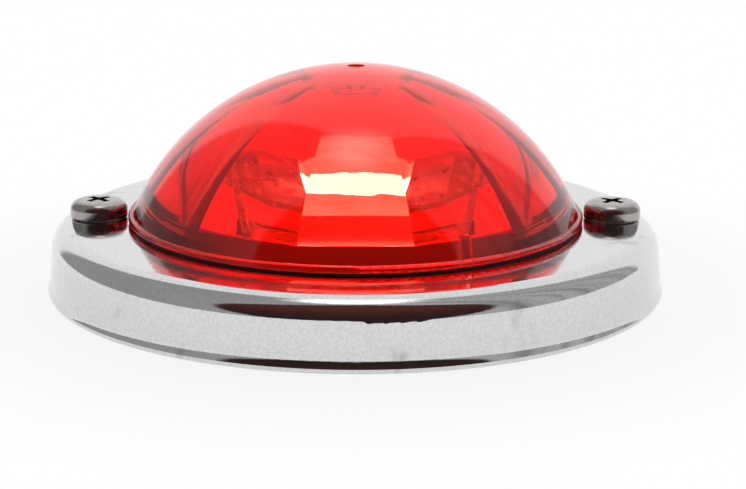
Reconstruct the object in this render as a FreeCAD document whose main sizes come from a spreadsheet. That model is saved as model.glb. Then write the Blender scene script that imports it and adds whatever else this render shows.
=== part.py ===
"""Surface-mount trailer tail light with a domed red lens on a chrome-plated steel base cover.

The mounting plane is Z = 0 and the lamp looks along +Z, with its axis on the Z axis. The two mounting
screws stand on the X axis. The lens locks under the cover with three lugs, and turns anticlockwise to
free them. Behind it a festoon bulb lies along X between two spring clips, over a bright reflector.
"""

import FreeCAD, Part
import math
import os

import Sketcher

doc = FreeCAD.newDocument("tail_light")

# ---------------------------------------------------------------- driving dimensions

SIZES = {
    # making
    "cut_past": 1.0,  # how far a cutter runs past the face that it opens
    "sunk": 0.5,  # how deep a fused piece reaches into its neighbour
    # lens
    "flange_radius": 32.8,  # the largest radius of the lens
    "flange_lip": 0.65,  # flange beyond the foot of the dome
    "flange_thickness": 1.05,
    "flange_round": 0.37,
    "dome_rise": 20.9,  # above the flange
    "dome_wall": 3.0,
    "skirt_inset": 1.95,  # skirt inside the foot of the dome
    "skirt_wall": 1.6,
    "ledge_rise": 1.3,  # ledge under the facets, above the flange
    "gate_boss_radius": 7.5,
    "gate_boss_depth": 0.45,
    "gate_radius": 1.25,
    "gate_depth": 1.1,
    "facet_count": 12,
    # twist lock
    "lug_count": 3,
    "lug_angle": 16,
    "lug_reach": 1.7,  # beyond the skirt
    "lug_thickness": 1.5,
    "lock_gap": 0.1,  # lug under the cover
    "lock_turn": 30,  # from locked to free
    "notch_margin": 0.2,  # notch beyond the lug, outwards
    "notch_spare_angle": 4,
    "post_radius": 0.9,
    "post_angle": -60,
    "post_reach": 0.7,  # below the skirt
    "stop_angle": 5,
    "stop_spare_angle": 1.2,
    "stop_width": 1.5,
    "stop_gap": 0.3,  # stop inside the skirt
    # lens gasket
    "gasket_thickness": 0.3,
    "gasket_inset": 0.35,  # inside the flange edge
    # cover
    "cover_height": 9.6,  # mounting plane to the flat top
    "cover_wall": 0.9,
    "cover_margin": 3.15,  # foot of the cover beyond the screw heads
    "cover_draft": 0.4,  # how much the side leans in between the lip and the shoulder
    "shoulder_round": 3.2,
    "foot_round": 0.45,  # outer edge at the mounting plane
    "lip_edge": 0.7,  # height of the upright edge of the lip
    "lip_round": 4.0,
    "lip_height": 2.0,
    "lip_flare": 0.3,
    "opening_gap": 0.3,  # cover opening beyond the skirt
    # base housing
    "floor_gap": 0.5,  # floor under the lens post
    "floor_thickness": 1.5,
    "deck_thickness": 1.5,
    "base_wall": 1.9,
    "base_gap": 0.15,  # base to cover
    "bevel_drop": 0.4,  # bevel of the base below the cover's shoulder
    "boss_drop": 1.3,  # screw boss below the top of the deck
    "chamber_margin": 0.9,  # lug chamber beyond the lug
    "chamber_wall": 1.5,
    "rib_count": 8,
    "rib_thickness": 1.2,
    "pad_thickness": 1.5,  # mounting gasket
    "pad_width": 3.5,
    "relief_gap": 0.3,  # mounting gasket round the sleeves
    # mounting screws
    "head_gap": 0.3,  # screw head to lens flange
    "head_radius": 4.1,
    "head_height": 2.7,
    "head_edge": 0.35,  # round at the underside of the head
    "head_round": 1.25,
    "head_side_round": 1.375,  # flatter than a quarter round
    "head_rise": 0.12,  # crown of the head
    "shank_radius": 2.08,
    "neck_radius": 1.85,  # shank above the mounting plane
    "screw_hole_margin": 0.3,
    "screw_length": 15.9,  # under the head
    "thread_pitch": 0.8,
    "thread_depth": 0.45,
    "thread_groove": 0.64,  # width of a groove
    "thread_turns": 5,
    "recess_radius": 1.9,
    "recess_slot": 0.95,
    "recess_arm_depth": 1.14,
    "recess_depth": 1.9,
    "recess_centre_radius": 0.855,
    "sleeve_wall": 0.9,
    "boss_wall": 1.2,
    # reflector
    "reflector_margin": 2.2,  # reflector inside the skirt
    "reflector_bowl": 6.9,  # width of the turned-up border
    "reflector_curve": 20.7,  # radius of the border's section
    "reflector_rise": 3.9,
    "reflector_edge": 0.15,
    "reflector_wall": 0.5,
    "reflector_standoff": 1.5,  # above the base floor
    "reflector_screw_offset": 15.0,
    "small_screw_radius": 1.1,
    "small_hole_margin": 0.15,
    "small_tip_gap": 0.3,  # tip above the underside of the floor
    "small_tip_length": 0.7,
    "small_head_radius": 2.1,
    "small_head_edge": 0.3,
    "small_head_height": 1.2,
    "small_slot_width": 0.5,
    "small_slot_depth": 0.6,
    "small_post_radius": 2.4,
    # bulb
    "bulb_gap": 2.0,  # bulb above the reflector
    "glass_radius": 5.2,
    "glass_length": 19.0,
    "glass_wall": 0.6,
    "glass_shoulder": 3.1,  # rounded end of the bulb
    "glass_shoulder_round": 3.9,
    "neck_length": 1.6,
    "cap_radius": 3.6,
    "cap_length": 5.6,
    "cap_straight": 3.47,  # cap before it tapers
    "cap_wall": 0.35,
    "tip_radius": 1.9,
    "tip_length": 1.5,
    "tip_chamfer": 0.6,
    "tip_land": 0.5,  # flat end of the cap round the tip
    "filament_length": 11.0,
    "filament_radius": 0.45,
    "lead_radius": 0.2,
    # electrical
    "board_end": 7.75,  # board beyond the bulb clips
    "board_width": 12.0,
    "board_thickness": 1.0,
    "clip_wall": 0.6,
    "clip_width": 7.0,
    "clip_top": 2.9,  # above the bulb axis
    "clip_lip": 1.2,  # flared end of the clip
    "clip_lean": 0.9,
    "clip_neck": 0.5,
    "clip_bend": 1.2,
    "clip_foot": 7.4,
    "eye_margin": 0.1,
    "window_margin": 0.5,  # reflector windows round the clips
    "rivet_radius": 1.5,
    "rivet_head_radius": 2.5,
    "rivet_head_height": 0.7,
    "rivet_head_edge": 0.15,
    "rivet_set_radius": 1.75,  # flat end of the set head
    "rivet_inset": 3.9,  # rivet from the upright of its clip
    "blade_width": 6.3,
    "blade_wall": 0.8,
    "blade_length": 8.0,
    "blade_foot": 8.0,
    "blade_step": 1.6,
    "blade_knee": 0.35,
    "fit_gap": 0.05,
}

sizes = doc.addObject("Spreadsheet::Sheet", "sizes")
for row, (alias, value) in enumerate(SIZES.items(), start=1):
    sizes.set(f"A{row}", alias)
    sizes.set(f"B{row}", str(value))
    sizes.setAlias(f"B{row}", alias)
doc.recompute()

# Lengths that several pieces share, each worked out once from the sheet.
DERIVED = {
    "cover_underside": "sizes.cover_height - sizes.cover_wall",
    "flange_bottom": "sizes.cover_height + sizes.gasket_thickness + sizes.fit_gap",
    "flange_top": "shared.flange_bottom + sizes.flange_thickness",
    "dome_foot": "sizes.flange_radius - sizes.flange_lip",
    "dome_top": "shared.flange_top + sizes.dome_rise",
    "dome_radius": "(shared.dome_foot^2 + sizes.dome_rise^2) / (2 * sizes.dome_rise)",
    "dome_centre": "shared.dome_top - shared.dome_radius",
    "vault_radius": "shared.dome_radius - sizes.dome_wall",
    "ledge_height": "shared.flange_top + sizes.ledge_rise",
    "skirt_radius": "shared.dome_foot - sizes.skirt_inset",
    "skirt_inside": "shared.skirt_radius - sizes.skirt_wall",
    "opening_radius": "shared.skirt_radius + sizes.opening_gap",
    "lug_top": "shared.cover_underside - sizes.lock_gap",
    "skirt_bottom": "shared.lug_top - sizes.lug_thickness",
    "lug_radius": "shared.skirt_radius + sizes.lug_reach",
    "notch_radius": "shared.lug_radius + sizes.notch_margin",
    "screw_offset": "sizes.flange_radius + sizes.head_gap + sizes.head_radius",
    "screw_hole": "sizes.shank_radius + sizes.screw_hole_margin",
    "sleeve_radius": "shared.screw_hole + sizes.sleeve_wall",
    "boss_radius": "shared.sleeve_radius + sizes.fit_gap + sizes.boss_wall",
    "head_top": "sizes.cover_height + sizes.head_height",
    "screw_tip": "sizes.cover_height - sizes.screw_length",
    "cover_radius": "shared.screw_offset + sizes.head_radius + sizes.cover_margin",
    "cover_inside": "shared.cover_radius - sizes.lip_flare - sizes.cover_draft - sizes.cover_wall",
    "base_radius": "shared.cover_inside - sizes.base_gap",
    "floor_top": "shared.skirt_bottom - sizes.post_reach - sizes.floor_gap",
    "floor_bottom": "shared.floor_top - sizes.floor_thickness",
    "deck_top": "shared.cover_underside - sizes.fit_gap",
    "deck_bottom": "shared.deck_top - sizes.deck_thickness",
    "chamber_radius": "shared.lug_radius + sizes.chamber_margin",
    "reflector_bottom": "shared.floor_top + sizes.reflector_standoff",
    "reflector_top": "shared.reflector_bottom + sizes.reflector_wall",
    "reflector_radius": "shared.skirt_inside - sizes.reflector_margin",
    "board_top": "shared.floor_top + sizes.board_thickness",
    "foot_top": "shared.board_top + sizes.clip_wall",
    "bulb_height": "shared.reflector_top + sizes.bulb_gap + sizes.glass_radius",
    "cap_start": "sizes.glass_length / 2 + 2 * sizes.fit_gap",
    "cap_end": "shared.cap_start + sizes.cap_length",
    "taper_start": "shared.cap_start + sizes.cap_straight",
    "clip_inside": "shared.cap_end + sizes.fit_gap",
    "rivet_offset": "shared.clip_inside - sizes.rivet_inset",
    "rivet_bottom": "shared.floor_bottom - sizes.blade_wall",
    "boss_sag": "sizes.gate_boss_radius^2 / (2 * shared.vault_radius)",
    "boss_face": "shared.dome_centre + shared.vault_radius - sizes.gate_boss_depth - shared.boss_sag",
}

shared = doc.addObject("App::FeaturePython", "shared")
for name, rule in DERIVED.items():
    shared.addProperty("App::PropertyFloat", name)
    shared.setExpression(name, rule)
    doc.recompute()


def value(rule):
    """The number that a rule gives with the sheet as it stands."""
    return float(shared.evalExpression(rule))


# ---------------------------------------------------------------- helpers


def new_body(label):
    body = doc.addObject("PartDesign::Body", label)
    body.Label = label
    return body


def new_sketch(body, role, name, lift=None):
    """A sketch on one of the body's own origin planes, raised by lift where that is given."""
    sketch = body.newObject("Sketcher::SketchObject", name)
    plane = [f for f in body.Origin.OriginFeatures if f.Role == role][0]
    sketch.AttachmentSupport = (plane, [""])
    sketch.MapMode = "FlatFace"
    if lift is not None:
        sketch.setExpression("AttachmentOffset.Base.z", lift)
    return sketch


def pin_down(sketch, geometry, end, rules):
    """Ties one point of the sketch to the sheet, by its distance from the origin along each axis."""
    for kind, axis, rule in (("DistanceX", -2, rules[0]), ("DistanceY", -1, rules[1])):
        size = value(rule)
        if abs(size) < 1e-9:
            sketch.addConstraint(Sketcher.Constraint("PointOnObject", geometry, end, axis))
            continue
        index = sketch.addConstraint(Sketcher.Constraint(kind, -1, 1, geometry, end, size))
        sketch.setExpression(f"Constraints[{index}]", rule)


def arc_between(start, stop, radius, turn):
    """The minor arc from start to stop, anticlockwise where turn is 1 and clockwise where it is -1."""
    a, b = (start, stop) if turn > 0 else (stop, start)
    chord = b - a
    height = math.sqrt(radius**2 - chord.Length**2 / 4)
    across = FreeCAD.Vector(-chord.y, chord.x, 0).normalize()
    centre = (a + b) / 2 + across * height
    first = math.atan2(a.y - centre.y, a.x - centre.x)
    last = math.atan2(b.y - centre.y, b.x - centre.x)
    circle = Part.Circle(centre, FreeCAD.Vector(0, 0, 1), radius)
    return Part.ArcOfCircle(circle, first, last if last > first else last + 2 * math.pi)


def outline(sketch, corners):
    """A closed outline. A corner is (x, y), or (x, y, radius, turn) where an arc leads on from it."""
    points = [FreeCAD.Vector(value(c[0]), value(c[1]), 0) for c in corners]
    ends = []
    for i, corner in enumerate(corners):
        start, stop = points[i], points[(i + 1) % len(points)]
        if len(corner) == 2:
            index = sketch.addGeometry(Part.LineSegment(start, stop))
            ends.append((index, 1, 2))
        else:
            turn = corner[3]
            radius = value(corner[2])
            index = sketch.addGeometry(arc_between(start, stop, radius, turn))
            limit = sketch.addConstraint(Sketcher.Constraint("Radius", index, radius))
            sketch.setExpression(f"Constraints[{limit}]", corner[2])
            ends.append((index, 1, 2) if turn > 0 else (index, 2, 1))
    for i, corner in enumerate(corners):
        before, here = ends[i - 1], ends[i]
        sketch.addConstraint(Sketcher.Constraint("Coincident", before[0], before[2], here[0], here[1]))
        pin_down(sketch, here[0], here[1], corner[:2])


def circle(sketch, x, y, radius):
    """A circle whose centre and radius follow the sheet."""
    centre = FreeCAD.Vector(value(x), value(y), 0)
    index = sketch.addGeometry(Part.Circle(centre, FreeCAD.Vector(0, 0, 1), value(radius)))
    limit = sketch.addConstraint(Sketcher.Constraint("Radius", index, value(radius)))
    sketch.setExpression(f"Constraints[{limit}]", radius)
    pin_down(sketch, index, 3, (x, y))


def turned(label, corners, role="XZ_Plane", axis="V_Axis"):
    """A body turned about the Z axis from its half section, or about X with axis H_Axis."""
    body = new_body(label)
    sketch = new_sketch(body, role, label + "_section")
    outline(sketch, corners)
    turn = body.newObject("PartDesign::Revolution", label + "_turned")
    turn.Profile = sketch
    turn.ReferenceAxis = (sketch, [axis])
    turn.Angle = 360
    doc.recompute()
    return body


def flat_sketch(body, name, lift, corners=(), circles=()):
    sketch = new_sketch(body, "XY_Plane", name, lift)
    if corners:
        outline(sketch, corners)
    for x, y, radius in circles:
        circle(sketch, x, y, radius)
    return sketch


def pad(body, name, sketch, length):
    feature = body.newObject("PartDesign::Pad", name)
    feature.Profile = sketch
    feature.setExpression("Length", length)
    doc.recompute()
    return feature


def pocket(body, name, sketch, depth):
    """Cuts downwards from the sketch. It stops the build if nothing was cut."""
    before = body.Shape.Volume
    feature = body.newObject("PartDesign::Pocket", name)
    feature.Profile = sketch
    feature.setExpression("Length", depth)
    doc.recompute()
    if body.Shape.Volume > before - 1e-6:
        raise RuntimeError(f"{name} cut nothing")
    return feature


def rectangle(x, y, half_x, half_y):
    """Corners of a rectangle centred on x, y."""
    signs = ((-1, -1), (1, -1), (1, 1), (-1, 1))
    return [(f"{x} + {sx} * ({half_x})", f"{y} + {sy} * ({half_y})") for sx, sy in signs]


def primitive(kind, name, **rules):
    """A Part primitive. A rule for place_x, place_y, place_z or spin sets its placement."""
    thing = doc.addObject(kind, name)
    paths = {
        "place_x": ".Placement.Base.x",
        "place_y": ".Placement.Base.y",
        "place_z": ".Placement.Base.z",
        "spin": ".Placement.Rotation.Angle",
    }
    if "spin" in rules:
        thing.Placement.Rotation = FreeCAD.Rotation(FreeCAD.Vector(0, 0, 1), 1)
    for key, rule in rules.items():
        thing.setExpression(paths.get(key, key), rule)
    return thing


def fused(label, things):
    result = doc.addObject("Part::MultiFuse", label)
    result.Shapes = things
    result.Label = label
    doc.recompute()
    return result


def cut(label, base, tool):
    """Base less tool. It stops the build if nothing was cut."""
    result = doc.addObject("Part::Cut", label)
    result.Base = base
    result.Tool = tool
    result.Label = label
    doc.recompute()
    if result.Shape.Volume > base.Shape.Volume - 1e-6:
        raise RuntimeError(f"{label} cut nothing")
    return result


def crown(half_width, rise):
    """Radius of a domed top centred on the axis, from its half width and its rise."""
    return f"({half_width}^2 + {rise}^2) / (2 * {rise})"


def ring(label, inner, outer, bottom, top):
    """A plain ring about the Z axis."""
    return turned(label, [(inner, bottom), (outer, bottom), (outer, top), (inner, top)])


nodes = {}


def keep(name, thing):
    """Names a finished sub-part."""
    thing.Label = name
    nodes[name] = thing
    return thing


SIDES = {"left": -1, "right": 1}
ENDS = {"front": -1, "back": 1}

# ---------------------------------------------------------------- chrome cover


def lock_sectors(name, radius, angle, first_angle, bottom, height):
    """One pie slice for each lug, spread evenly about the Z axis, the first centred on first_angle."""
    slices = []
    for i in range(int(SIZES["lug_count"])):
        slices.append(
            primitive(
                "Part::Cylinder",
                f"{name}_{i + 1}",
                Radius=radius,
                Height=height,
                Angle=angle,
                place_z=bottom,
                spin=f"{first_angle} + {i} * 360 / sizes.lug_count - ({angle}) / 2",
            )
        )
    return fused(name, slices)


def make_cover():
    side = "(shared.cover_radius - sizes.lip_flare)"
    top_side = f"({side} - sizes.cover_draft)"
    shoulder = "(sizes.cover_height - sizes.shoulder_round)"
    inner_round = "sizes.shoulder_round - sizes.cover_wall"
    body = turned(
        "cover_pressing",
        [
            ("shared.cover_radius - sizes.cover_wall", "0"),
            ("shared.cover_radius - sizes.foot_round", "0", "sizes.foot_round", 1),
            ("shared.cover_radius", "sizes.foot_round"),
            ("shared.cover_radius", "sizes.lip_edge", "sizes.lip_round", -1),
            (side, "sizes.lip_height"),
            (top_side, shoulder, "sizes.shoulder_round", 1),
            (f"{top_side} - sizes.shoulder_round", "sizes.cover_height"),
            ("shared.opening_radius", "sizes.cover_height"),
            ("shared.opening_radius", "shared.cover_underside"),
            (f"{top_side} - sizes.shoulder_round", "shared.cover_underside", inner_round, -1),
            ("shared.cover_inside", shoulder),
            (f"{side} - sizes.cover_wall", "sizes.lip_height"),
        ],
    )
    holes = flat_sketch(
        body,
        "screw_hole_plan",
        "sizes.cover_height",
        circles=[(f"{sign} * shared.screw_offset", "0", "shared.screw_hole") for sign in SIDES.values()],
    )
    pocket(body, "screw_holes", holes, "sizes.cover_wall")
    notches = lock_sectors(
        "lug_notches",
        "shared.notch_radius",
        "sizes.lug_angle + sizes.notch_spare_angle",
        "sizes.lock_turn",
        "shared.cover_underside - sizes.cut_past",
        "sizes.cover_wall + 2 * sizes.cut_past",
    )
    keep("bezel_cover", cut("bezel_cover", body, notches))


make_cover()

# ---------------------------------------------------------------- lens


def make_vault():
    """The faceted inside of the dome: six round-topped bars that cross on the axis, and what they share."""
    bars = []
    reach = "sqrt(shared.vault_radius^2 - (shared.ledge_height - shared.dome_centre)^2)"
    for i in range(int(SIZES["facet_count"]) // 2):
        body = new_body(f"vault_bar_{i + 1}")
        sketch = new_sketch(body, "XZ_Plane", f"vault_section_{i + 1}")
        outline(
            sketch,
            [
                (f"0 - {reach}", "shared.ledge_height"),
                (reach, "shared.ledge_height", "shared.vault_radius", 1),
            ],
        )
        bar = body.newObject("PartDesign::Pad", f"vault_pad_{i + 1}")
        bar.Profile = sketch
        bar.Midplane = True
        bar.setExpression("Length", "3 * shared.dome_radius")
        body.Placement.Rotation = FreeCAD.Rotation(FreeCAD.Vector(0, 0, 1), 360 / SIZES["facet_count"] * i)
        bars.append(body)
    doc.recompute()
    vault = doc.addObject("Part::MultiCommon", "vault")
    vault.Shapes = bars
    doc.recompute()
    return vault


def make_lens():
    edge = "sizes.flange_round"
    blank = turned(
        "lens_blank",
        [
            ("0", "shared.skirt_bottom"),
            ("shared.skirt_radius", "shared.skirt_bottom"),
            ("shared.skirt_radius", "shared.flange_bottom"),
            (f"sizes.flange_radius - {edge}", "shared.flange_bottom", edge, 1),
            ("sizes.flange_radius", f"shared.flange_bottom + {edge}"),
            ("sizes.flange_radius", f"shared.flange_top - {edge}", edge, 1),
            (f"sizes.flange_radius - {edge}", "shared.flange_top"),
            ("shared.dome_foot", "shared.flange_top", "shared.dome_radius", 1),
            ("0", "shared.dome_top"),
        ],
    )
    gate = primitive(
        "Part::Cylinder",
        "gate_dimple",
        Radius="sizes.gate_radius",
        Height="sizes.gate_depth + sizes.cut_past",
        place_z="shared.dome_top - sizes.gate_depth",
    )
    lugs = lock_sectors(
        "lens_lugs",
        "shared.lug_radius",
        "sizes.lug_angle",
        "0",
        "shared.skirt_bottom",
        "sizes.lug_thickness",
    )
    solid = cut("lens_without_gate", fused("lens_solid", [blank, lugs]), gate)
    bore = primitive(
        "Part::Cylinder",
        "lens_bore",
        Radius="shared.skirt_inside",
        Height="shared.ledge_height - shared.skirt_bottom + sizes.cut_past",
        place_z="shared.skirt_bottom - sizes.cut_past",
    )
    hollow = fused("lens_hollow", [bore, make_vault()])
    shell = cut("lens_shell", solid, hollow)
    boss = primitive(
        "Part::Cylinder",
        "gate_boss",
        Radius="sizes.gate_boss_radius",
        Height="shared.dome_centre + shared.vault_radius + sizes.sunk - shared.boss_face",
        place_z="shared.boss_face",
    )
    post_offset = "(shared.skirt_inside - sizes.post_radius / 2)"
    post = primitive(
        "Part::Cylinder",
        "stop_post",
        Radius="sizes.post_radius",
        Height="shared.ledge_height - shared.skirt_bottom + sizes.post_reach + sizes.sunk",
        place_x=f"{post_offset} * cos(sizes.post_angle)",
        place_y=f"{post_offset} * sin(sizes.post_angle)",
        place_z="shared.skirt_bottom - sizes.post_reach",
    )
    keep("lens", fused("lens", [shell, boss, post]))


make_lens()
keep(
    "lens_gasket",
    ring(
        "lens_gasket",
        "shared.opening_radius",
        "sizes.flange_radius - sizes.gasket_inset",
        "sizes.cover_height",
        "sizes.cover_height + sizes.gasket_thickness",
    ),
)

# ---------------------------------------------------------------- base housing


def make_base():
    wall_inside = "(shared.base_radius - sizes.base_wall)"
    chamber_outside = "(shared.chamber_radius + sizes.chamber_wall)"
    wall_top = "(sizes.cover_height - sizes.shoulder_round)"
    deck_edge = "(shared.base_radius - sizes.shoulder_round + sizes.cover_wall)"
    boss_top = "(shared.deck_top - sizes.boss_drop)"
    body = turned(
        "base_pan",
        [
            ("0", "shared.floor_bottom"),
            (chamber_outside, "shared.floor_bottom"),
            (chamber_outside, "shared.deck_bottom"),
            (wall_inside, "shared.deck_bottom"),
            (wall_inside, "sizes.pad_thickness"),
            ("shared.base_radius", "sizes.pad_thickness"),
            ("shared.base_radius", f"{wall_top} - sizes.bevel_drop"),
            (deck_edge, "shared.deck_top"),
            ("shared.chamber_radius", "shared.deck_top"),
            ("shared.chamber_radius", "shared.floor_top"),
            ("0", "shared.floor_top"),
        ],
    )
    holes = flat_sketch(
        body,
        "base_screw_plan",
        boss_top,
        circles=[(f"{sign} * shared.screw_offset", "0", "shared.boss_radius") for sign in SIDES.values()],
    )
    bosses = pad(body, "screw_bosses", holes, f"{boss_top} - sizes.pad_thickness")
    bosses.Reversed = True
    doc.recompute()
    ribs = []
    rib_start = f"({chamber_outside} - sizes.sunk)"
    half = "sizes.rib_thickness / 2"
    for i in range(int(SIZES["rib_count"])):
        turn = f"(360 / sizes.rib_count * ({i} + 0.5))"
        ribs.append(
            primitive(
                "Part::Box",
                f"base_rib_{i + 1}",
                Length=f"{wall_inside} - {chamber_outside} + 2 * sizes.sunk",
                Width="sizes.rib_thickness",
                Height="shared.deck_top - shared.floor_bottom - sizes.sunk",
                place_x=f"{rib_start} * cos({turn}) + {half} * sin({turn})",
                place_y=f"{rib_start} * sin({turn}) - {half} * cos({turn})",
                place_z="shared.floor_bottom",
                spin=turn,
            )
        )
    reflector_posts = [
        primitive(
            "Part::Cylinder",
            f"reflector_post_{name}",
            Radius="sizes.small_post_radius",
            Height="sizes.reflector_standoff + sizes.sunk",
            place_y=f"{sign} * sizes.reflector_screw_offset",
            place_z="shared.floor_top - sizes.sunk",
        )
        for name, sign in ENDS.items()
    ]
    stops = []
    post_half = "(sizes.post_radius / shared.skirt_inside * 180 / pi + sizes.stop_spare_angle)"
    for name, angle in (
        ("locked", f"sizes.post_angle - {post_half} - sizes.stop_angle"),
        ("free", f"sizes.post_angle + sizes.lock_turn + {post_half}"),
    ):
        outer = primitive(
            "Part::Cylinder",
            f"stop_{name}_outer",
            Radius="shared.skirt_inside - sizes.stop_gap",
            Height="shared.skirt_bottom - shared.floor_top + 2 * sizes.sunk",
            Angle="sizes.stop_angle",
            place_z="shared.floor_top - sizes.sunk",
            spin=angle,
        )
        inner = primitive(
            "Part::Cylinder",
            f"stop_{name}_inner",
            Radius="shared.skirt_inside - sizes.stop_gap - sizes.stop_width",
            Height="2 * sizes.cover_height",
        )
        doc.recompute()
        stops.append(cut(f"stop_{name}", outer, inner))
    solid = fused("base_solid", [body, *ribs, *reflector_posts, *stops])
    bores = [
        primitive(
            "Part::Cylinder",
            f"sleeve_bore_{name}",
            Radius="shared.sleeve_radius + sizes.fit_gap",
            Height="2 * sizes.cover_height",
            place_x=f"{sign} * shared.screw_offset",
        )
        for name, sign in SIDES.items()
    ]
    bores += [
        primitive(
            "Part::Cylinder",
            f"rivet_bore_{name}",
            Radius="sizes.rivet_radius + sizes.fit_gap",
            Height="2 * sizes.cover_height",
            place_x=f"{sign} * shared.rivet_offset",
        )
        for name, sign in SIDES.items()
    ]
    bores += [
        primitive(
            "Part::Cylinder",
            f"pilot_bore_{name}",
            Radius="sizes.small_screw_radius + sizes.fit_gap",
            Height="2 * sizes.cover_height",
            place_y=f"{sign} * sizes.reflector_screw_offset",
        )
        for name, sign in ENDS.items()
    ]
    keep("base_housing", cut("base_housing", solid, fused("base_bores", bores)))


make_base()


def make_mounting_gasket():
    inner = "shared.base_radius - sizes.pad_width"
    foam = ring("mounting_foam", inner, "shared.base_radius", "0", "sizes.pad_thickness")
    reliefs = [
        primitive(
            "Part::Cylinder",
            f"sleeve_relief_{name}",
            Radius="shared.sleeve_radius + sizes.relief_gap",
            Height="2 * sizes.pad_thickness",
            place_x=f"{sign} * shared.screw_offset",
            place_z="0 - sizes.pad_thickness / 2",
        )
        for name, sign in SIDES.items()
    ]
    keep("mounting_gasket", cut("mounting_gasket", foam, fused("sleeve_reliefs", reliefs)))


make_mounting_gasket()

# ---------------------------------------------------------------- mounting screws


def cross_outline():
    """The twelve corners of the cross recess, anticlockwise from the right arm."""
    reach, half = "sizes.recess_radius", "(sizes.recess_slot / 2)"
    arm = [(1, reach, -1, half), (1, reach, 1, half), (1, half, 1, half)]
    corners = []
    for turn in range(4):
        for sx, x, sy, y in arm:
            a, b = f"{sx} * {x}", f"{sy} * {y}"
            corners.append([(a, b), (f"0 - {b}", a), (f"0 - {a}", f"0 - {b}"), (b, f"0 - {a}")][turn])
    return corners


def make_screw(name, sign):
    top_edge = "(sizes.head_radius - sizes.head_round)"
    rise = "sizes.head_rise"
    body = turned(
        f"screw_{name}_blank",
        [
            ("0", "shared.screw_tip"),
            ("sizes.shank_radius - sizes.thread_depth", "shared.screw_tip"),
            ("sizes.shank_radius", "shared.screw_tip + sizes.thread_depth"),
            ("sizes.shank_radius", "0"),
            ("sizes.neck_radius", "0"),
            ("sizes.neck_radius", "sizes.cover_height"),
            ("sizes.head_radius - sizes.head_edge", "sizes.cover_height", "sizes.head_edge", 1),
            ("sizes.head_radius", "sizes.cover_height + sizes.head_edge"),
            ("sizes.head_radius", "shared.head_top - sizes.head_round", "sizes.head_side_round", 1),
            (top_edge, f"shared.head_top - {rise}", crown(top_edge, rise), 1),
            ("0", "shared.head_top"),
        ],
    )
    groove_sketch = new_sketch(body, "XZ_Plane", f"thread_section_{name}")
    start = "(shared.screw_tip + sizes.thread_depth + sizes.thread_pitch / 2)"
    half = "sizes.thread_groove / 2"
    outside = "(sizes.shank_radius + sizes.cut_past / 10)"
    outline(
        groove_sketch,
        [
            ("sizes.shank_radius - sizes.thread_depth", start),
            (outside, f"{start} - {half}"),
            (outside, f"{start} + {half}"),
        ],
    )
    groove = body.newObject("PartDesign::Groove", f"thread_groove_{name}")
    groove.Profile = groove_sketch
    groove.ReferenceAxis = (groove_sketch, ["V_Axis"])
    groove.Angle = 360
    doc.recompute()
    before = body.Shape.Volume
    thread = body.newObject("PartDesign::LinearPattern", f"thread_{name}")
    thread.Originals = [groove]
    thread.Direction = (groove_sketch, ["V_Axis"])
    thread.setExpression("Length", "sizes.thread_pitch * (sizes.thread_turns - 1)")
    thread.setExpression("Occurrences", "sizes.thread_turns")
    body.Tip = thread
    doc.recompute()
    if body.Shape.Volume > before - 1e-6:
        raise RuntimeError("the thread pattern cut nothing")
    cross = flat_sketch(body, f"recess_plan_{name}", "shared.head_top", corners=cross_outline())
    pocket(body, f"recess_{name}", cross, "sizes.recess_arm_depth")
    centre = flat_sketch(
        body,
        f"recess_centre_plan_{name}",
        "shared.head_top",
        circles=[("0", "0", "sizes.recess_centre_radius")],
    )
    pocket(body, f"recess_centre_{name}", centre, "sizes.recess_depth")
    body.Placement.Rotation = FreeCAD.Rotation(FreeCAD.Vector(0, 0, 1), 45)
    body.setExpression(".Placement.Base.x", f"{sign} * shared.screw_offset")
    keep(f"screw_{name}", body)


def make_sleeve(name, sign):
    bore, outside = "shared.screw_hole", "shared.sleeve_radius"
    sleeve = ring(f"screw_sleeve_{name}", bore, outside, "0", "shared.deck_top")
    sleeve.setExpression(".Placement.Base.x", f"{sign} * shared.screw_offset")
    keep(f"screw_sleeve_{name}", sleeve)


for side_name, side_sign in SIDES.items():
    make_screw(side_name, side_sign)
    make_sleeve(side_name, side_sign)

# ---------------------------------------------------------------- reflector


def make_reflector():
    rim = "(shared.reflector_bottom + sizes.reflector_rise)"
    flat = "shared.reflector_radius - sizes.reflector_bowl"
    bowl = "sizes.reflector_curve"
    dish = turned(
        "reflector_dish",
        [
            ("0", "shared.reflector_bottom"),
            (flat, "shared.reflector_bottom", bowl, 1),
            ("shared.reflector_radius", rim),
            ("shared.reflector_radius", f"{rim} + sizes.reflector_wall"),
            ("shared.reflector_radius - sizes.reflector_edge", f"{rim} + sizes.reflector_wall", bowl, -1),
            (flat, "shared.reflector_top"),
            ("0", "shared.reflector_top"),
        ],
    )
    window_x = "(shared.clip_inside + (sizes.clip_wall - sizes.clip_foot) / 2)"
    half_x = "(sizes.clip_foot + sizes.clip_wall) / 2 + sizes.window_margin"
    half_y = "sizes.clip_width / 2 + sizes.window_margin"
    for name, sign in SIDES.items():
        window = flat_sketch(
            dish,
            f"clip_window_plan_{name}",
            "shared.reflector_top",
            corners=rectangle(f"{sign} * {window_x}", "0", half_x, half_y),
        )
        pocket(dish, f"clip_window_{name}", window, "2 * sizes.reflector_wall")
    hole = "sizes.small_screw_radius + sizes.small_hole_margin"
    holes = flat_sketch(
        dish,
        "reflector_hole_plan",
        "shared.reflector_top",
        circles=[("0", f"{sign} * sizes.reflector_screw_offset", hole) for sign in ENDS.values()],
    )
    pocket(dish, "reflector_holes", holes, "2 * sizes.reflector_wall")
    keep("reflector", dish)


make_reflector()


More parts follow.
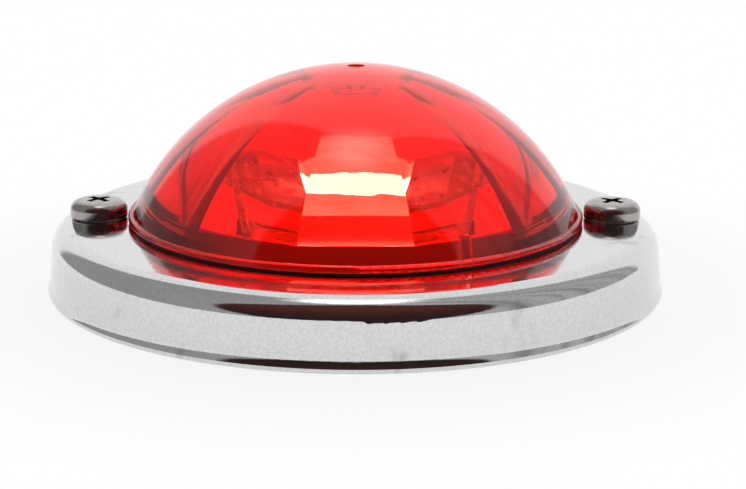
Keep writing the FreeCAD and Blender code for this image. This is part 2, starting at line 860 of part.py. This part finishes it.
def make_reflector_screws():
    edge = "sizes.small_head_edge"
    tip = "(shared.floor_bottom + sizes.small_tip_gap)"
    slot_half = "sizes.small_head_radius + sizes.cut_past"
    dome = crown("sizes.small_head_radius", f"(sizes.small_head_height - {edge})")
    screws = []
    for name, sign in ENDS.items():
        screw = turned(
            f"small_screw_{name}",
            [
                ("0", tip),
                ("sizes.small_screw_radius", f"{tip} + sizes.small_tip_length"),
                ("sizes.small_screw_radius", "shared.reflector_top"),
                ("sizes.small_head_radius", "shared.reflector_top"),
                ("sizes.small_head_radius", f"shared.reflector_top + {edge}", dome, 1),
                ("0", "shared.reflector_top + sizes.small_head_height"),
            ],
        )
        slot = flat_sketch(
            screw,
            f"small_slot_plan_{name}",
            "shared.reflector_top + sizes.small_head_height",
            corners=rectangle("0", "0", slot_half, "sizes.small_slot_width / 2"),
        )
        pocket(screw, f"small_slot_{name}", slot, "sizes.small_slot_depth")
        screw.setExpression(".Placement.Base.y", f"{sign} * sizes.reflector_screw_offset")
        screws.append(screw)
    doc.recompute()
    both = doc.addObject("Part::Compound", "reflector_screws")
    both.Links = screws
    doc.recompute()
    keep("reflector_screws", both)


make_reflector_screws()

# ---------------------------------------------------------------- contact board, clips and terminals


RIVET_BORE = "sizes.rivet_radius + sizes.fit_gap"


def make_board():
    board = new_body("contact_board")
    plan = flat_sketch(
        board,
        "board_plan",
        "shared.floor_top",
        corners=rectangle("0", "0", "shared.clip_inside + sizes.board_end", "sizes.board_width / 2"),
    )
    pad(board, "board_pad", plan, "sizes.board_thickness")
    holes = flat_sketch(
        board,
        "board_hole_plan",
        "shared.board_top",
        circles=[(f"{sign} * shared.rivet_offset", "0", RIVET_BORE) for sign in SIDES.values()],
    )
    pocket(board, "board_holes", holes, "sizes.board_thickness")
    keep("contact_board", board)


def side_profile(name, corners, width):
    """A strip bent in the XZ plane, padded evenly both ways along Y."""
    body = new_body(name)
    sketch = new_sketch(body, "XZ_Plane", f"{name}_profile")
    outline(sketch, corners)
    strip = body.newObject("PartDesign::Pad", f"{name}_strip")
    strip.Profile = sketch
    strip.Midplane = True
    strip.setExpression("Length", width)
    doc.recompute()
    return body


def make_clip(name, sign):
    inside = "shared.clip_inside"
    top = "(shared.bulb_height + sizes.clip_top)"
    bend = "sizes.clip_bend"
    corners = [
        (f"{inside} - sizes.clip_foot", "shared.board_top"),
        (f"{inside} + sizes.clip_wall - {bend}", "shared.board_top", bend, 1),
        (f"{inside} + sizes.clip_wall", f"shared.board_top + {bend}"),
        (f"{inside} + sizes.clip_wall", f"{top} - sizes.clip_neck"),
        (f"{inside} + sizes.clip_wall + sizes.clip_lean", f"{top} + sizes.clip_lip"),
        (f"{inside} + sizes.clip_lean", f"{top} + sizes.clip_lip + sizes.clip_neck"),
        (inside, top),
        (inside, f"shared.board_top + {bend}", f"{bend} - sizes.clip_wall", -1),
        (f"{inside} + sizes.clip_wall - {bend}", "shared.foot_top"),
        (f"{inside} - sizes.clip_foot", "shared.foot_top"),
    ]
    if sign < 0:
        corners = [mirrored(c) for c in corners]
    strip = side_profile(f"clip_{name}_strip", corners, "sizes.clip_width")
    tools = [
        primitive(
            "Part::Cylinder",
            f"clip_{name}_rivet_bore",
            Radius=RIVET_BORE,
            Height="3 * sizes.clip_wall",
            place_x=f"{sign} * shared.rivet_offset",
            place_z="shared.board_top - sizes.clip_wall",
        )
    ]
    eye = primitive(
        "Part::Cylinder",
        f"clip_{name}_eye",
        Radius="sizes.tip_radius + sizes.eye_margin",
        Height="6 * sizes.clip_wall",
        place_z="shared.bulb_height",
    )
    eye.Placement.Rotation = FreeCAD.Rotation(FreeCAD.Vector(0, 1, 0), 90)
    eye.setExpression(".Placement.Base.x", f"{sign} * {inside} - 3 * sizes.clip_wall")
    tools.append(eye)
    keep(f"bulb_clip_{name}", cut(f"bulb_clip_{name}", strip, fused(f"clip_{name}_bores", tools)))


def mirrored(corner):
    """The same corner on the other side of the YZ plane."""
    if len(corner) == 2:
        return (f"0 - ({corner[0]})", corner[1])
    return (f"0 - ({corner[0]})", corner[1], corner[2], -corner[3])


def make_rivet(name, sign):
    edge = "sizes.rivet_head_edge"
    dome = crown("sizes.rivet_head_radius", f"(sizes.rivet_head_height - {edge})")
    rivet = turned(
        f"clip_rivet_{name}",
        [
            ("0", "shared.rivet_bottom - sizes.rivet_head_height"),
            ("sizes.rivet_set_radius", "shared.rivet_bottom - sizes.rivet_head_height"),
            ("sizes.rivet_head_radius", "shared.rivet_bottom"),
            ("sizes.rivet_radius", "shared.rivet_bottom"),
            ("sizes.rivet_radius", "shared.foot_top"),
            ("sizes.rivet_head_radius", "shared.foot_top"),
            ("sizes.rivet_head_radius", f"shared.foot_top + {edge}", dome, 1),
            ("0", "shared.foot_top + sizes.rivet_head_height"),
        ],
    )
    rivet.setExpression(".Placement.Base.x", f"{sign} * shared.rivet_offset")
    keep(f"clip_rivet_{name}", rivet)


def make_terminal(name, sign):
    """A blade whose foot is riveted under the floor and whose tab steps down and runs towards +Y."""
    body = new_body(f"terminal_{name}_blade")
    sketch = new_sketch(body, "YZ_Plane", f"terminal_{name}_profile")
    foot_end = "(sizes.blade_foot / 2)"
    step_end = f"({foot_end} + sizes.blade_step)"
    low = "(shared.floor_bottom - sizes.blade_wall)"
    outline(
        sketch,
        [
            (f"0 - {foot_end}", low),
            (foot_end, low),
            (step_end, f"{low} - sizes.blade_step"),
            (f"{step_end} + sizes.blade_length", f"{low} - sizes.blade_step"),
            (f"{step_end} + sizes.blade_length", f"{low} - sizes.blade_step + sizes.blade_wall"),
            (f"{step_end} + sizes.blade_knee", f"{low} - sizes.blade_step + sizes.blade_wall"),
            (f"{foot_end} + sizes.blade_knee", "shared.floor_bottom"),
            (f"0 - {foot_end}", "shared.floor_bottom"),
        ],
    )
    strip = body.newObject("PartDesign::Pad", f"terminal_{name}_pad")
    strip.Profile = sketch
    strip.Midplane = True
    strip.setExpression("Length", "sizes.blade_width")
    doc.recompute()
    hole = flat_sketch(
        body,
        f"terminal_{name}_hole_plan",
        "shared.floor_bottom",
        circles=[("0", "0", RIVET_BORE)],
    )
    pocket(body, f"terminal_{name}_hole", hole, "sizes.blade_wall")
    body.setExpression(".Placement.Base.x", f"{sign} * shared.rivet_offset")
    keep(f"terminal_{name}", body)


make_board()
for side_name, side_sign in SIDES.items():
    make_clip(side_name, side_sign)
    make_rivet(side_name, side_sign)
    make_terminal(side_name, side_sign)

# ---------------------------------------------------------------- bulb


def lay_on_bulb_axis(body):
    body.setExpression(".Placement.Base.z", "shared.bulb_height")
    doc.recompute()
    return body


def make_glass():
    half = "(sizes.glass_length / 2)"
    neck = "(sizes.cap_radius - sizes.cap_wall - 2 * sizes.fit_gap)"
    inner_neck = f"({neck} - sizes.glass_wall)"
    neck_end = f"({half} + sizes.neck_length)"
    shoulder = f"({half} - sizes.glass_shoulder)"
    bulge = "sizes.glass_shoulder_round"
    inside = [
        (f"0 - {neck_end}", inner_neck),
        (f"0 - {half} + sizes.glass_wall", inner_neck),
        (f"0 - {shoulder}", "sizes.glass_radius - sizes.glass_wall"),
        (shoulder, "sizes.glass_radius - sizes.glass_wall"),
        (f"{half} - sizes.glass_wall", inner_neck),
        (neck_end, inner_neck),
    ]
    outside = [
        (neck_end, neck),
        (half, neck, bulge, 1),
        (shoulder, "sizes.glass_radius"),
        (f"0 - {shoulder}", "sizes.glass_radius", bulge, 1),
        (f"0 - {half}", neck),
        (f"0 - {neck_end}", neck),
    ]
    keep("bulb_glass", lay_on_bulb_axis(turned("bulb_glass", inside + outside, axis="H_Axis")))


def make_cap(name, sign):
    inner = "(sizes.cap_radius - sizes.cap_wall)"
    straight = "shared.taper_start"
    corners = [
        ("shared.cap_start", inner),
        (f"{straight} - sizes.cap_wall", inner),
        (f"{straight} - sizes.cap_wall", "0"),
        ("shared.cap_end + sizes.tip_length", "0"),
        ("shared.cap_end + sizes.tip_length", "sizes.tip_radius - sizes.tip_chamfer"),
        ("shared.cap_end + sizes.tip_length - sizes.tip_chamfer", "sizes.tip_radius"),
        ("shared.cap_end", "sizes.tip_radius"),
        ("shared.cap_end", "sizes.tip_radius + sizes.tip_land"),
        (straight, "sizes.cap_radius"),
        ("shared.cap_start", "sizes.cap_radius"),
    ]
    if sign < 0:
        corners = [mirrored(c) for c in corners]
    keep(f"bulb_cap_{name}", lay_on_bulb_axis(turned(f"bulb_cap_{name}", corners, axis="H_Axis")))


def make_filament():
    coil = primitive(
        "Part::Cylinder",
        "bulb_filament",
        Radius="sizes.filament_radius",
        Height="sizes.filament_length",
        place_z="shared.bulb_height",
        place_x="0 - sizes.filament_length / 2",
    )
    coil.Placement.Rotation = FreeCAD.Rotation(FreeCAD.Vector(0, 1, 0), 90)
    leads = []
    length = "(shared.taper_start - sizes.cap_wall - sizes.filament_length / 2)"
    for name, sign in SIDES.items():
        lead = primitive(
            "Part::Cylinder",
            f"filament_lead_{name}",
            Radius="sizes.lead_radius",
            Height=length,
            place_z="shared.bulb_height",
            place_x=f"{sign} * (sizes.filament_length / 2 + {length} / 2) - {length} / 2",
        )
        lead.Placement.Rotation = FreeCAD.Rotation(FreeCAD.Vector(0, 1, 0), 90)
        leads.append(lead)
    doc.recompute()
    both = doc.addObject("Part::Compound", "filament_leads")
    both.Links = leads
    doc.recompute()
    keep("bulb_filament", coil)
    keep("filament_leads", both)


make_glass()
for side_name, side_sign in SIDES.items():
    make_cap(side_name, side_sign)
make_filament()

# ---------------------------------------------------------------- check and write

doc.recompute()
for thing in doc.Objects:
    if "Invalid" in thing.State or "Error" in thing.State:
        raise RuntimeError(f"{thing.Label} failed: {thing.State}")
for name, thing in nodes.items():
    if thing.Shape.isNull() or not thing.Shape.isValid() or not thing.Shape.Solids:
        raise RuntimeError(f"{name} has no valid solid")

os.makedirs("parts", exist_ok=True)
for name, thing in nodes.items():
    thing.Shape.exportStep(f"parts/{name}.step")
    solids = thing.Shape.Solids
    print(f"{name}: {len(solids)} solid(s), {sum(s.Volume for s in solids):.1f} mm3")
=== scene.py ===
"""Studio scene of the trailer tail light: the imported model, its finishes, a pale floor and a tent."""

import math

import bpy
from mathutils import Matrix, Vector


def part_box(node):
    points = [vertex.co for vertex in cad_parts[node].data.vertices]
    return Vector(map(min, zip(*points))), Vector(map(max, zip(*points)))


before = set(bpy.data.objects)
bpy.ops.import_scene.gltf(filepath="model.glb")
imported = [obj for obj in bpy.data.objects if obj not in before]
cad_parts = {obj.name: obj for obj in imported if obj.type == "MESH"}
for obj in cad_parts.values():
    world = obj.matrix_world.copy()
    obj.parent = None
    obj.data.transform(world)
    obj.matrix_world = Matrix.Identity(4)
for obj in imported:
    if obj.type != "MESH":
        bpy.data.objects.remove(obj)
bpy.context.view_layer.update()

MM = 0.001


# ---------------------------------------------------------------- camera

DISTANCE = 303.1 * MM
ELEVATION = math.radians(15.44)
AIM_RIGHT = math.radians(0.48)
AIM_UP = math.radians(1.015)
ROLL = math.radians(0.287)
LENS_MM = 99.9


def make_camera():
    eye = Vector((0, -DISTANCE * math.cos(ELEVATION), DISTANCE * math.sin(ELEVATION)))
    straight = -eye.normalized()
    level_right = straight.cross(Vector((0, 0, 1))).normalized()
    level_up = level_right.cross(straight)
    ahead = (straight + math.tan(AIM_RIGHT) * level_right + math.tan(AIM_UP) * level_up).normalized()
    right = ahead.cross(Vector((0, 0, 1))).normalized()
    up = right.cross(ahead)
    rolled_right = math.cos(ROLL) * right + math.sin(ROLL) * up
    rolled_up = math.cos(ROLL) * up - math.sin(ROLL) * right
    turn = Matrix((rolled_right, rolled_up, -ahead)).transposed().to_4x4()
    data = bpy.data.cameras.new("camera")
    data.lens = LENS_MM
    data.clip_start = 0.01
    camera = bpy.data.objects.new("camera", data)
    camera.matrix_world = Matrix.Translation(eye) @ turn
    bpy.context.collection.objects.link(camera)
    bpy.context.scene.camera = camera


make_camera()

# ---------------------------------------------------------------- node trees


class Nodes:
    """Short calls to build the node tree of a material."""

    def __init__(self, tree):
        self.tree = tree

    def put(self, item, key, value):
        socket = item.inputs[key]
        if isinstance(value, bpy.types.NodeSocket):
            self.tree.links.new(value, socket)
        else:
            socket.default_value = value

    def add(self, kind, settings=None, inputs=None):
        item = self.tree.nodes.new("ShaderNode" + kind)
        for key, value in (settings or {}).items():
            setattr(item, key, value)
        for key, value in (inputs or {}).items():
            self.put(item, key, value)
        return item

    def math(self, operation, *values):
        return self.add("Math", {"operation": operation}, dict(enumerate(values))).outputs[0]

    def step(self, value, low, high, to_low=0.0, to_high=1.0):
        """A smooth step from to_low to to_high as value goes from low to high."""
        inputs = {"Value": value, "From Min": low, "From Max": high, "To Min": to_low, "To Max": to_high}
        return self.add("MapRange", {"interpolation_type": "SMOOTHSTEP"}, inputs).outputs["Result"]

    def mix(self, factor, first, second):
        """Two colours, by a factor."""
        item = self.add("Mix", {"data_type": "RGBA"}, {0: factor})
        for slot, colour in ((6, first), (7, second)):
            self.put(item, slot, colour)
        return item.outputs[2]

    def place(self, stretch=(1, 1, 1)):
        """Coordinates on the object, in metres, stretched along its axes."""
        spot = self.add("TexCoord").outputs["Object"]
        return self.add("Mapping", inputs={"Vector": spot, "Scale": stretch}).outputs[0]

    def noise(self, size, detail=3.0, stretch=(1, 1, 1)):
        """Soft noise whose patches are about size metres across."""
        inputs = {"Vector": self.place(stretch), "Scale": 1 / size, "Detail": detail}
        return self.add("TexNoise", inputs=inputs).outputs[0]

    def cells(self, size):
        """Distance to the middle of round cells about size metres apart."""
        inputs = {"Vector": self.place(), "Scale": 1 / size}
        return self.add("TexVoronoi", inputs=inputs).outputs["Distance"]

    def length(self, first, second):
        """The root of the sum of two squares."""
        squares = [self.math("MULTIPLY", value, value) for value in (first, second)]
        return self.math("SQRT", self.math("ADD", *squares))


class Finish(Nodes):
    """A material with a Principled surface."""

    def __init__(self, name, colour, roughness, **numbers):
        self.material = bpy.data.materials.new(name)
        self.material.use_nodes = True
        super().__init__(self.material.node_tree)
        self.surface = self.tree.nodes["Principled BSDF"]
        self.output = self.tree.nodes["Material Output"]
        self.put(self.surface, "Base Color", (*colour, 1))
        self.put(self.surface, "Roughness", roughness)
        for key, value in numbers.items():
            self.put(self.surface, key.replace("_", " "), value)

    def vary_colour(self, pattern, first, second):
        self.put(self.surface, "Base Color", self.mix(pattern, (*first, 1), (*second, 1)))

    def vary_roughness(self, pattern, low, high):
        self.put(self.surface, "Roughness", self.step(pattern, 0.3, 0.7, low, high))

    def bump(self, height, distance, strength=1.0):
        """Relief, distance metres deep. A second call adds to the first."""
        inputs = {"Height": height, "Distance": distance, "Strength": strength}
        item = self.add("Bump", inputs=inputs)
        for link in self.surface.inputs["Normal"].links:
            self.put(item, "Normal", link.from_socket)
        self.put(self.surface, "Normal", item.outputs[0])


def shade(colour, factor):
    return tuple(channel * factor for channel in colour)


def grey(level):
    return (level, level, level, 1)


def coat(finish, *names):
    for name in names:
        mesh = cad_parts[name].data
        mesh.materials.clear()
        mesh.materials.append(finish.material)


# ---------------------------------------------------------------- finishes of the outside

CHROME = (0.66, 0.66, 0.665)
CHROME_DARK = (0.62, 0.62, 0.625, 1)
CHROME_BRIGHT = (0.69, 0.69, 0.695, 1)
CHROME_SMUDGE = (0.45, 0.45, 0.455, 1)
GLOW_COLOUR = (1.0, 0.015, 0.0, 1)
GLOW_BESIDE = (12 * MM, 25 * MM)
GLOW_MOST = 0.1
GLOW_LEAST = 0.006
GLOW_ABOVE = (15 * MM, 27 * MM)
GLOW_TOP_SHARE = 0.4


def chrome_plate():
    """Chrome over pressed steel: an orange-peel ripple, faint draw marks, rub marks and a few pits."""
    sh = Finish("chrome_plate", CHROME, 0.05, Metallic=1.0)
    grain = sh.step(sh.noise(0.4 * MM, 5.0), 0.35, 0.65)
    smudge = sh.step(sh.noise(6 * MM, 5.0, (1, 1, 0.6)), 0.6, 0.72)
    plate = sh.mix(grain, CHROME_DARK, CHROME_BRIGHT)
    sh.put(sh.surface, "Base Color", sh.mix(smudge, plate, CHROME_SMUDGE))
    sh.vary_roughness(sh.noise(2.5 * MM, 5.0), 0.035, 0.095)
    sh.bump(sh.noise(1.7 * MM, 2.0), 0.012 * MM, 0.55)
    sh.bump(sh.noise(0.35 * MM, 2.0, (1, 1, 0.25)), 0.0025 * MM, 0.6)
    sh.bump(sh.step(sh.cells(6 * MM), 0.0, 0.03), 0.02 * MM, 0.7)
    return sh


def red_acrylic():
    """Clear red acrylic with polish haze and specks.

    A weak emission, strongest over the bulb, stands for the light that a real lens scatters.
    """
    sh = Finish("red_acrylic", (0.95, 0.03, 0.018), 0.0, IOR=1.49, Transmission_Weight=0.94)
    sh.vary_colour(sh.noise(14 * MM, 2.0), (0.97, 0.034, 0.021), (0.93, 0.026, 0.015))
    sh.vary_roughness(sh.noise(3 * MM, 5.0), 0.0, 0.012)
    sh.bump(sh.noise(5 * MM, 2.0), 0.012 * MM, 0.35)
    sh.bump(sh.step(sh.cells(1.6 * MM), 0.0, 0.09), 0.02 * MM, 0.5)
    spot = sh.add("SeparateXYZ", inputs={0: sh.place()}).outputs
    across = sh.math("ABSOLUTE", spot["X"])
    beside = sh.step(across, *GLOW_BESIDE, GLOW_MOST, GLOW_LEAST)
    above = sh.step(spot["Z"], *GLOW_ABOVE, 1.0, GLOW_TOP_SHARE)
    sh.put(sh.surface, "Emission Color", GLOW_COLOUR)
    sh.put(sh.surface, "Emission Strength", sh.math("MULTIPLY", beside, above))
    return sh


def rubber(name, colour, grain):
    sh = Finish(name, colour, 0.75)
    sh.vary_colour(sh.noise(4 * MM), shade(colour, 0.7), shade(colour, 1.5))
    sh.bump(sh.noise(grain), 0.06 * MM, 0.5)
    return sh


def foam():
    """Closed-cell foam: small round cells."""
    sh = rubber("foam_rubber", (0.035, 0.035, 0.037), 0.6 * MM)
    sh.bump(sh.cells(0.5 * MM), 0.12 * MM, 0.8)
    return sh


def moulded_plastic():
    sh = Finish("moulded_black", (0.03, 0.03, 0.032), 0.45)
    sh.vary_colour(sh.noise(7 * MM), (0.024, 0.024, 0.026), (0.042, 0.041, 0.04))
    sh.vary_roughness(sh.noise(1.2 * MM, 4.0), 0.36, 0.58)
    sh.bump(sh.noise(0.25 * MM), 0.02 * MM, 0.5)
    return sh


def plated(name, colour, tarnish, roughness, grain=0.5 * MM):
    """Plated metal: two tones in patches, rubbed brighter in places, with a fine grain."""
    sh = Finish(name, colour, roughness, Metallic=1.0)
    sh.vary_colour(sh.noise(1.6 * MM, 5.0), colour, tarnish)
    sh.vary_roughness(sh.noise(0.9 * MM, 5.0), roughness * 0.7, roughness * 1.5)
    sh.bump(sh.noise(grain, 3.0, (1, 1, 0.4)), 0.006 * MM, 0.6)
    return sh


def bright_dip():
    """Bright aluminium with faint spinning marks round the axis."""
    sh = Finish("bright_aluminium", (0.9, 0.9, 0.9), 0.1, Metallic=1.0)
    rings = sh.add(
        "TexWave",
        {"wave_type": "RINGS", "rings_direction": "Z"},
        {"Vector": sh.place(), "Scale": 1 / (2.5 * MM), "Distortion": 0.6},
    ).outputs["Fac"]
    sh.vary_roughness(rings, 0.07, 0.16)
    sh.bump(rings, 0.004 * MM, 0.5)
    return sh


def phenolic():
    """Paper-filled board: brown, with short fibres along it."""
    sh = Finish("phenolic_board", (0.22, 0.11, 0.05), 0.5)
    sh.vary_colour(sh.noise(0.8 * MM, 6.0, (0.3, 1, 1)), (0.17, 0.08, 0.035), (0.28, 0.15, 0.07))
    sh.bump(sh.noise(0.3 * MM, 4.0, (0.3, 1, 1)), 0.015 * MM, 0.5)
    return sh


# ---------------------------------------------------------------- finishes of the lit bulb

BAND_LIFT = 0.4 * MM
BAND_HALF = 0.9 * MM
BAND_FADE = 0.7 * MM
BAND_WOBBLE = 0.7 * MM
BULB_STRENGTH = 1100
GLASS_STRENGTH = 4.0
BULB_COLOUR = (0.5, 1.0, 1.0, 1)


def lit_glass():
    """An opaque glowing surface in place of clear glass, brightest level with the filament.

    Its colour is a pale blue-green, which reads as white-hot through the red lens.
    """
    low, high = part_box("bulb_glass")
    sh = Finish("lit_glass", (1.0, 0.97, 0.92), 0.02)
    height = sh.add("SeparateXYZ", inputs={0: sh.place()}).outputs["Z"]
    middle = (low[2] + high[2]) / 2 + BAND_LIFT
    wobble = sh.step(sh.noise(1.5 * MM, 4.0, (0.4, 1, 1)), 0.3, 0.7, -BAND_WOBBLE / 2, BAND_WOBBLE / 2)
    off_axis = sh.math("ABSOLUTE", sh.math("ADD", sh.math("SUBTRACT", height, middle), wobble))
    band = sh.step(off_axis, BAND_HALF, BAND_HALF + BAND_FADE, BULB_STRENGTH, GLASS_STRENGTH)
    streaks = sh.step(sh.noise(1.2 * MM, 3.0, (0.4, 1, 1)), 0.3, 0.7, 0.75, 1.2)
    sh.put(sh.surface, "Emission Strength", sh.math("MULTIPLY", band, streaks))
    sh.put(sh.surface, "Emission Color", BULB_COLOUR)
    return sh


def hot_wire():
    sh = Finish("hot_tungsten", (0.3, 0.28, 0.26), 0.4, Metallic=1.0)
    sh.put(sh.surface, "Emission Color", (1.0, 0.75, 0.4, 1))
    sh.put(sh.surface, "Emission Strength", sh.step(sh.noise(0.5 * MM), 0.3, 0.7, 200.0, 320.0))
    return sh


NICKEL = (0.5, 0.46, 0.455)
ZINC = (0.6, 0.61, 0.63)
BRASS = (0.78, 0.58, 0.26)

coat(chrome_plate(), "bezel_cover")
coat(red_acrylic(), "lens")
coat(rubber("gasket_rubber", (0.02, 0.02, 0.02), 0.3 * MM), "lens_gasket")
coat(foam(), "mounting_gasket")
coat(moulded_plastic(), "base_housing")
coat(plated("dark_nickel", NICKEL, shade(NICKEL, 0.6), 0.2), "screw_left", "screw_right")
zinc = plated("zinc_plate", ZINC, (0.58, 0.55, 0.42), 0.32)
coat(zinc, "screw_sleeve_left", "screw_sleeve_right", "reflector_screws")
coat(bright_dip(), "reflector")
coat(phenolic(), "contact_board")
coat(plated("spring_brass", BRASS, shade(BRASS, 0.85), 0.3), "bulb_clip_left", "bulb_clip_right")
rivet_brass = plated("rivet_brass", shade(BRASS, 0.9), (0.5, 0.34, 0.15), 0.3)
coat(rivet_brass, "clip_rivet_left", "clip_rivet_right")
coat(plated("tin_plate", (0.7, 0.68, 0.62), (0.55, 0.52, 0.45), 0.34), "terminal_left", "terminal_right")
coat(plated("cap_nickel", (0.7, 0.69, 0.66), (0.62, 0.6, 0.56), 0.34), "bulb_cap_left", "bulb_cap_right")
coat(plated("lead_wire", (0.5, 0.45, 0.4), (0.35, 0.3, 0.25), 0.35), "filament_leads")
coat(lit_glass(), "bulb_glass")
coat(hot_wire(), "bulb_filament")

# ---------------------------------------------------------------- studio

# Directions on the tent are in degrees: azimuth from the front, positive to the right, and elevation.
TENT_RADIUS = 1.2
TENT_STEPS = 96
TENT_LEVELS = 24
RIGHT_EDGE = (122.0, 128.0)
LEFT_EDGE = (-143.0, -137.0)
WALL_TOP = (72.0, 84.0)
WALL_TURN = (-100.0, 100.0)
WALL_LEFT = 0.36
WALL_RIGHT = 0.52
ZENITH = (72.0, 88.0)
CEILING_LEVEL = 1.0
ZENITH_LEVEL = 3.0
OPENING_HALF_WIDTH = 55.0
OPENING_MIDDLE = 34.0
OPENING_HALF_HEIGHT = 40.0
OPENING_EDGE = (0.92, 1.08)
OPENING_RISE = (0.0, 70.0)
OPENING_LOW = (0.03, 0.018, 0.018, 1)
OPENING_HIGH = (0.12, 0.035, 0.03, 1)
# Painted shade: dark bands on the right of the tent's light, standing for the shade of folds.
FOLD_WIDTH = 11.0
FOLD_START = (40.0, 60.0)
FOLD_SHARE = 0.5
FOLD_SHADE_LEVEL = 0.08

FLOOR_HALF = 3.0
FLOOR_DROP = 0.05 * MM
SHADOW_START = 46 * MM
SHADOW_END = 85 * MM
SHADOW_SHARE = 0.88


def make_object(name, points, faces, material):
    mesh = bpy.data.meshes.new(name)
    mesh.from_pydata(points, [], faces)
    mesh.materials.append(material)
    thing = bpy.data.objects.new(name, mesh)
    bpy.context.collection.objects.link(thing)
    return thing


def tent_light():
    """White behind and overhead, brightest at the top, and grey in front and at the sides.

    A dark, slightly red oval opening is in front, and soft dark bands on the right are painted shade of
    folds, which the tent's shape does not have.
    """
    material = bpy.data.materials.new("tent")
    material.use_nodes = True
    material.cycles.emission_sampling = "NONE"
    nodes = Nodes(material.node_tree)
    for item in list(nodes.tree.nodes):
        nodes.tree.nodes.remove(item)
    x, y, z = nodes.add("SeparateXYZ", inputs={0: nodes.add("TexCoord").outputs["Object"]}).outputs
    toward = nodes.math("MULTIPLY", y, -1.0)
    azimuth = nodes.math("DEGREES", nodes.math("ARCTAN2", x, toward))
    elevation = nodes.math("DEGREES", nodes.math("ARCTAN2", z, nodes.length(x, y)))
    right_edge = nodes.step(azimuth, *RIGHT_EDGE, 1.0, 0.0)
    left_edge = nodes.step(azimuth, *LEFT_EDGE)
    sides = nodes.math("MULTIPLY", right_edge, left_edge)
    walls = nodes.math("MULTIPLY", sides, nodes.step(elevation, *WALL_TOP, 1.0, 0.0))
    wall = nodes.mix(nodes.step(azimuth, *WALL_TURN), grey(WALL_LEFT), grey(WALL_RIGHT))
    ceiling = nodes.mix(nodes.step(elevation, *ZENITH), grey(CEILING_LEVEL), grey(ZENITH_LEVEL))
    room = nodes.mix(walls, ceiling, wall)
    across = nodes.math("DIVIDE", azimuth, OPENING_HALF_WIDTH)
    up = nodes.math("DIVIDE", nodes.math("SUBTRACT", elevation, OPENING_MIDDLE), OPENING_HALF_HEIGHT)
    squares = [nodes.math("MULTIPLY", value, value) for value in (across, up)]
    oval = nodes.math("ADD", *squares)
    opening = nodes.mix(nodes.step(elevation, *OPENING_RISE), OPENING_LOW, OPENING_HIGH)
    colour = nodes.mix(nodes.step(oval, *OPENING_EDGE, 1.0, 0.0), room, opening)
    # Painted shade: darker bands in the tent's light on the right, standing for the shade of folds.
    turn = nodes.math("DIVIDE", azimuth, FOLD_WIDTH)
    folds = nodes.add("TexNoise", {"noise_dimensions": "1D"}, {"W": turn, "Scale": 1.0})
    painted_fold_shade = nodes.step(folds.outputs[0], 0.3, 0.62, 1.0, 0.0)
    painted_fold_shade = nodes.math("MULTIPLY", painted_fold_shade, nodes.step(azimuth, *FOLD_START, 0.0, FOLD_SHARE))
    colour = nodes.mix(nodes.math("MULTIPLY", painted_fold_shade, sides), colour, grey(FOLD_SHADE_LEVEL))
    emit = nodes.add("Emission", inputs={"Color": colour})
    output = nodes.add("OutputMaterial")
    nodes.put(output, "Surface", emit.outputs[0])
    return material


def make_tent():
    """A light tent that stands on the floor round the lamp and the camera, seen by every ray."""
    points = []
    for level in range(TENT_LEVELS):
        rise = math.radians(90 * level / TENT_LEVELS)
        radius, height = TENT_RADIUS * math.cos(rise), TENT_RADIUS * math.sin(rise)
        for k in range(TENT_STEPS):
            turn = 2 * math.pi * k / TENT_STEPS
            points.append((radius * math.cos(turn), radius * math.sin(turn), height))
    top = len(points)
    points.append((0, 0, TENT_RADIUS))
    faces = []
    for level in range(TENT_LEVELS - 1):
        for k in range(TENT_STEPS):
            a, b = level * TENT_STEPS + k, level * TENT_STEPS + (k + 1) % TENT_STEPS
            faces.append((a, b, b + TENT_STEPS, a + TENT_STEPS))
    last = top - TENT_STEPS
    for k in range(TENT_STEPS):
        faces.append((last + k, last + (k + 1) % TENT_STEPS, top))
    make_object("light_tent", points, faces, tent_light())


def make_floor():
    """A pale floor, as white in the metal and glass as to the camera.

    Near the lamp a share of it is ordinary shading, which keeps the shadow.
    """
    sh = Finish("pale_floor", (0.88, 0.88, 0.88), 0.8)
    sh.vary_colour(sh.noise(0.2), (0.86, 0.86, 0.86), (0.9, 0.9, 0.9))
    path = sh.add("LightPath").outputs
    seen = sh.math("ADD", path["Is Camera Ray"], path["Is Glossy Ray"])
    seen = sh.math("MINIMUM", sh.math("ADD", seen, path["Is Transmission Ray"]), 1.0)
    emit = sh.add("Emission").outputs[0]
    x, y, _ = sh.add("SeparateXYZ", inputs={0: sh.place()}).outputs
    share = sh.step(sh.length(x, y), SHADOW_START, SHADOW_END, SHADOW_SHARE, 1.0)
    factor = sh.math("MULTIPLY", seen, share)
    mix = sh.add("MixShader", inputs={0: factor, 1: sh.surface.outputs[0], 2: emit})
    sh.put(sh.output, "Surface", mix.outputs[0])
    half = FLOOR_HALF
    corners = [(-half, -half, 0), (half, -half, 0), (half, half, 0), (-half, half, 0)]
    floor = make_object("floor", corners, [(0, 1, 2, 3)], sh.material)
    floor.location.z = -FLOOR_DROP


def make_world():
    world = bpy.data.worlds.new("studio")
    bpy.context.scene.world = world
    world.use_nodes = True
    world.node_tree.nodes["Background"].inputs["Color"].default_value = grey(1.0)


make_world()
make_floor()
make_tent()
bpy.context.scene.view_settings.view_transform = "Standard"
